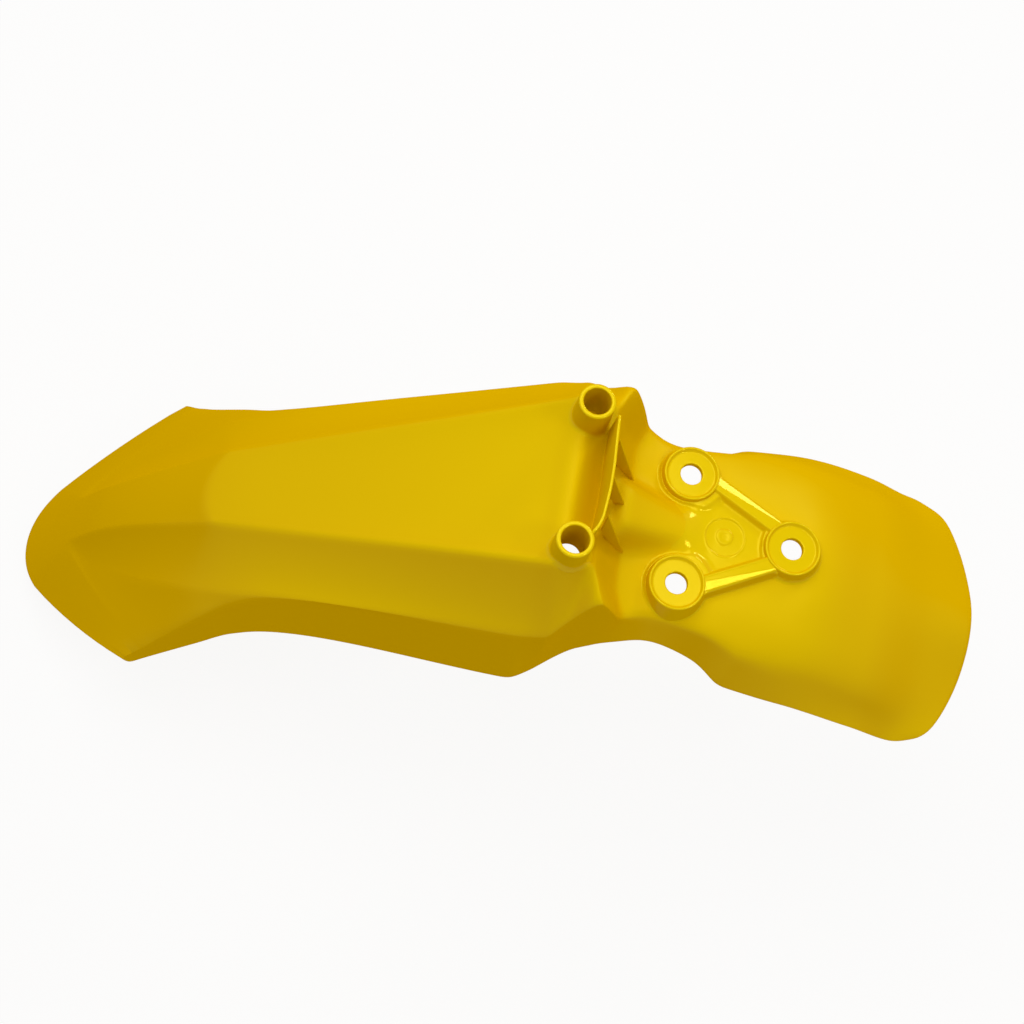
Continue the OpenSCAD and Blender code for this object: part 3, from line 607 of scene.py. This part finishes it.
def makeRib(name, outline, y):
    deselectAll()
    bpy.ops.mesh.primitive_circle_add(vertices=len(outline), radius=0.01, fill_type="NGON")
    piece = addedPiece(name)
    t = ribs["thick"] / 2
    setCorners(piece, [(x * mm, (y - t) * mm, z * mm) for x, z in outline])
    editAll(piece)
    bpy.ops.mesh.extrude_region_move(TRANSFORM_OT_translate={"value": (0, 2 * t * mm, 0)})
    bpy.ops.mesh.select_all(action="SELECT")
    bpy.ops.mesh.normals_make_consistent(inside=False)
    leaveEdit()
    applyModifier(piece, "BEVEL", width=ribs["round"] * mm, segments=3,
                  limit_method="ANGLE", angle_limit=math.radians(50))
    return piece


def makeRibs():
    back = -fin["reach"]
    length, saddle = ribs["length"], -shell["saddleDrop"]
    outline = [(back, ribs["top"]), (back + length, saddle + 5), (back + length - 1, saddle + 1.5),
               (back + 13, 3), (back + 8, 13), (back, 35)]
    made = [makeRib(f"rib{k}", outline, side * ribs["pitch"]) for k, side in enumerate((-1, 1))]
    middle = [(back, ribs["top"]), (back + 13.5, 22), (back + 13.5, 18), (back + 8, 18), (back, 35)]
    return made + [makeRib("rib2", middle, 0)]


finPiece = joinPieces([makeFin()] + makeRibs(), "fin")
print("fin and ribs made")


# the shell gets its wall, its rim and its holes

applyModifier(shellPiece, "SOLIDIFY", thickness=shell["wall"] * mm, offset=-1,
              use_even_offset=True, thickness_clamp=1.5)


def cutShell():
    deselectAll()
    holes = [(place, cups["seat"] + shell["cupGap"]) for place in cupPlaces]
    tubePlaces = [(-tubes["reach"], side * tubes["spacing"] / 2) for side in (1, -1)]
    holes += [(place, tubes["bore"] + shell["tubeGap"]) for place in tubePlaces]
    made = []
    for k, ((x, y), r) in enumerate(holes):
        bpy.ops.mesh.primitive_cylinder_add(vertices=64, radius=r * mm, depth=shell["cutLength"] * mm,
                                            location=(x * mm, y * mm, shell["cutRise"] * mm))
        made.append(addedPiece(f"cutter{k}"))
        bpy.ops.object.transform_apply(location=True, rotation=True, scale=True)
        deselectAll()
    cutter = joinPieces(made, "cutter")
    applyModifier(shellPiece, "BOOLEAN", object=cutter, operation="DIFFERENCE", solver="EXACT")
    bpy.data.objects.remove(cutter)


cutShell()
applyModifier(shellPiece, "BEVEL", width=shell["edgeRound"] * mm, segments=2,
              limit_method="ANGLE", angle_limit=math.radians(60))
print("shell cut and rounded:", len(shellPiece.data.polygons), "faces")


# the moulded plastic

def node(tree, kind, x, y, **values):
    made = tree.nodes.new(kind)
    made.location = (x, y)
    for key, value in values.items():
        if hasattr(made, key):
            setattr(made, key, value)
        else:
            made.inputs[key].default_value = value
    return made


def makeGrain():  # fine moulded grain over a soft waviness
    group = bpy.data.node_groups.new("mouldedGrain", "ShaderNodeTree")
    for name, kind, start in (("Vector", "NodeSocketVector", None), ("Grain Scale", "NodeSocketFloat", 900),
                              ("Wave Scale", "NodeSocketFloat", 26)):
        socket = group.interface.new_socket(name=name, in_out="INPUT", socket_type=kind)
        if start is not None:
            socket.default_value = start
    group.interface.new_socket(name="Height", in_out="OUTPUT", socket_type="NodeSocketFloat")
    start = node(group, "NodeGroupInput", -700, 0)
    end = node(group, "NodeGroupOutput", 300, 0)
    grain = node(group, "ShaderNodeTexNoise", -450, 200, Detail=2.0, Roughness=0.6)
    wave = node(group, "ShaderNodeTexNoise", -450, -150, Detail=3.0, Roughness=0.5)
    added = node(group, "ShaderNodeMath", 50, 100, operation="MULTIPLY_ADD")
    added.inputs[1].default_value = 0.35
    link = group.links.new
    link(start.outputs["Vector"], grain.inputs["Vector"])
    link(start.outputs["Vector"], wave.inputs["Vector"])
    link(start.outputs["Grain Scale"], grain.inputs["Scale"])
    link(start.outputs["Wave Scale"], wave.inputs["Scale"])
    link(grain.outputs["Fac"], added.inputs[0])
    link(wave.outputs["Fac"], added.inputs[2])
    link(added.outputs[0], end.inputs["Height"])
    return group


finish = {
    # painted shade: colours of a surface that faces the eye, is half turned away and is seen from the side, deeper and
    # more orange as it turns away
    "panelTones": ((0.715, 0.5, 0.0, 1), (0.69, 0.43, 0.0, 1), (0.71, 0.43, 0.0, 1)),
    # painted light: the mount pieces get lighter, greener tones than the panel, on the same plastic
    "mountTones": ((0.72, 0.53, 0.0, 1), (0.71, 0.465, 0.0, 1), (0.72, 0.475, 0.0, 1)),
    "gloss": (1.0, 0.86, 0.07, 1),
    # roughness, shine, and how far the surface may turn away before the shine is gone
    "panel": (0.4, 0.28, 0.08, 0.45), "mount": (0.12, 0.78, 0.2, 0.5),
    "bump": (0.08, 0.0006),  # strength and depth of the grain
}


def makeYellow(name, kind):  # painted shade: a deeper, more orange colour where it turns away, and without shine there
    rough, shine, start, end = finish[kind]
    faced, edged, turnedAway = finish[kind + "Tones"]
    material = bpy.data.materials.new(name)
    material.use_nodes = True
    tree = material.node_tree
    link = tree.links.new
    shader = tree.nodes["Principled BSDF"]
    shader.inputs["IOR"].default_value = 1.46
    shader.inputs["Roughness"].default_value = rough
    shader.inputs["Specular Tint"].default_value = finish["gloss"]
    turned = node(tree, "ShaderNodeLayerWeight", -900, 150, Blend=0.5)
    # painted shade: the base colour follows how far the surface turns from the eye
    shadeRamp = node(tree, "ShaderNodeValToRGB", -700, 350)
    stops = shadeRamp.color_ramp.elements
    stops[0].position, stops[0].color = 0.15, faced
    stops[1].position, stops[1].color = 0.8, turnedAway
    stops.new(0.43).color = edged
    dulled = node(tree, "ShaderNodeMapRange", -700, 50, interpolation_type="SMOOTHSTEP")
    for socket, value in (("From Min", start), ("From Max", end), ("To Min", shine), ("To Max", 0.0)):
        dulled.inputs[socket].default_value = value
    link(turned.outputs["Facing"], shadeRamp.inputs["Fac"])
    link(turned.outputs["Facing"], dulled.inputs["Value"])
    link(shadeRamp.outputs["Color"], shader.inputs["Base Color"])
    link(dulled.outputs["Result"], shader.inputs["Specular IOR Level"])
    place = node(tree, "ShaderNodeTexCoord", -900, -200)
    grain = node(tree, "ShaderNodeGroup", -700, -200)
    grain.node_tree = bpy.data.node_groups["mouldedGrain"]
    bump = node(tree, "ShaderNodeBump", -300, -200, Strength=finish["bump"][0], Distance=finish["bump"][1])
    link(place.outputs["Object"], grain.inputs["Vector"])
    link(grain.outputs["Height"], bump.inputs["Height"])
    link(bump.outputs["Normal"], shader.inputs["Normal"])
    return material


def raisePieces(pieces, rise):
    for piece in pieces:
        editAll(piece)
        bpy.ops.transform.translate(value=(0, 0, rise))
        leaveEdit()


makeGrain()
panelYellow = makeYellow("mouldedYellow", "panel")
# the mount's material is smoother and glossier, and its lighter tones are painted light
mountYellow = makeYellow("glossyYellow", "mount")
cupPiece = joinPieces(cupPieces, "boltCups")
tubePiece = joinPieces(tubePieces, "plateTubes")
raisePieces((shellPiece, platePiece, cupPiece, tubePiece, finPiece), cups["seatDepth"] * mm)
for piece, angle, plastic in ((shellPiece, 50, panelYellow), (platePiece, 60, mountYellow), (cupPiece, 40, mountYellow),
                              (tubePiece, 40, mountYellow), (finPiece, 40, mountYellow)):
    piece.data.materials.clear()
    piece.data.materials.append(plastic)
    smooth(piece, angle)
    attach(piece, "root")
    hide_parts("mudguard")
print("plastic applied")


# floor, light and camera

studio = {
    "floorDrop": 0.345, "floorSize": 8, "floorShade": (0.86, 0.86, 0.86, 1), "floorGlow": 0.9,
    "worldTint": (1.0, 0.9, 0.75, 1), "worldLevel": 0.48,
    # each lamp's place, width and power, and the point that all of them face
    "key": ((-0.42, 0.42, 1.43), 1.3, 14.2), "farGlint": ((0.63, 1.13, 0.82), 0.3, 3.2),
    "nearGlint": ((0.7, -0.27, 1.32), 0.3, 3.2), "aim": (-0.1, 0, 0),
}
view = {
    "place": (-0.16609, -0.35280, 0.97774),
    "right": (0.98009, 0.16470, 0.11087), "up": (-0.19172, 0.93021, 0.31296), "back": (-0.05159, -0.32798, 0.94327),
    "lens": 56.57, "sensor": 36,
}


def makeFloor():
    deselectAll()
    bpy.ops.mesh.primitive_plane_add(size=studio["floorSize"], location=(0, 0, -studio["floorDrop"]))
    floor = addedPiece("floor")
    material = bpy.data.materials.new("paleFloor")
    material.use_nodes = True
    tree = material.node_tree
    tree.nodes.clear()
    matte = node(tree, "ShaderNodeBsdfDiffuse", -300, 0, Color=studio["floorShade"])
    glow = node(tree, "ShaderNodeEmission", -300, -150, Strength=1.0)
    both = node(tree, "ShaderNodeMixShader", 0, 0)
    end = node(tree, "ShaderNodeOutputMaterial", 200, 0)
    path = node(tree, "ShaderNodeLightPath", -800, 300)
    glowing = node(tree, "ShaderNodeMath", -550, 300, operation="MULTIPLY")
    glowing.inputs[1].default_value = studio["floorGlow"]
    tree.links.new(path.outputs["Is Camera Ray"], glowing.inputs[0])
    tree.links.new(glowing.outputs[0], both.inputs[0])
    tree.links.new(matte.outputs[0], both.inputs[1])
    tree.links.new(glow.outputs[0], both.inputs[2])
    tree.links.new(both.outputs[0], end.inputs[0])
    floor.data.materials.append(material)


def makeWorld():
    world = bpy.data.worlds.new("paleStudio")
    bpy.context.scene.world = world
    world.use_nodes = True
    tree = world.node_tree
    tree.nodes.clear()
    soft = node(tree, "ShaderNodeBackground", -100, 100, Color=studio["worldTint"], Strength=studio["worldLevel"])
    white = node(tree, "ShaderNodeBackground", -100, -100, Strength=1.0)
    white.inputs["Color"].default_value = (1, 1, 1, 1)
    both = node(tree, "ShaderNodeMixShader", 150, 0)
    end = node(tree, "ShaderNodeOutputWorld", 350, 0)
    path = node(tree, "ShaderNodeLightPath", -400, 300)
    tree.links.new(path.outputs["Is Camera Ray"], both.inputs[0])
    tree.links.new(soft.outputs[0], both.inputs[1])
    tree.links.new(white.outputs[0], both.inputs[2])
    tree.links.new(both.outputs[0], end.inputs[0])


def makeLamp(name, place, size, power):
    deselectAll()
    bpy.ops.object.light_add(type="AREA", location=place)
    lamp = bpy.context.object
    lamp.name = name
    lamp.data.size = size
    lamp.data.energy = power
    lamp.rotation_euler = (Vector(studio["aim"]) - Vector(place)).to_track_quat("-Z", "Y").to_euler()


def makeCamera():
    deselectAll()
    bpy.ops.object.camera_add()
    camera = bpy.context.object
    turn = Matrix((view["right"], view["up"], view["back"])).transposed()
    camera.matrix_world = Matrix.Translation(view["place"]) @ turn.to_4x4()
    camera.location.z += cups["seatDepth"] * mm
    camera.data.lens = view["lens"]
    camera.data.sensor_width = view["sensor"]
    bpy.context.scene.camera = camera


makeFloor()
makeWorld()
for name in ("key", "farGlint", "nearGlint"):
    makeLamp(name, *studio[name])
makeCamera()
bpy.context.scene.view_settings.view_transform = "Standard"
print("studio ready")
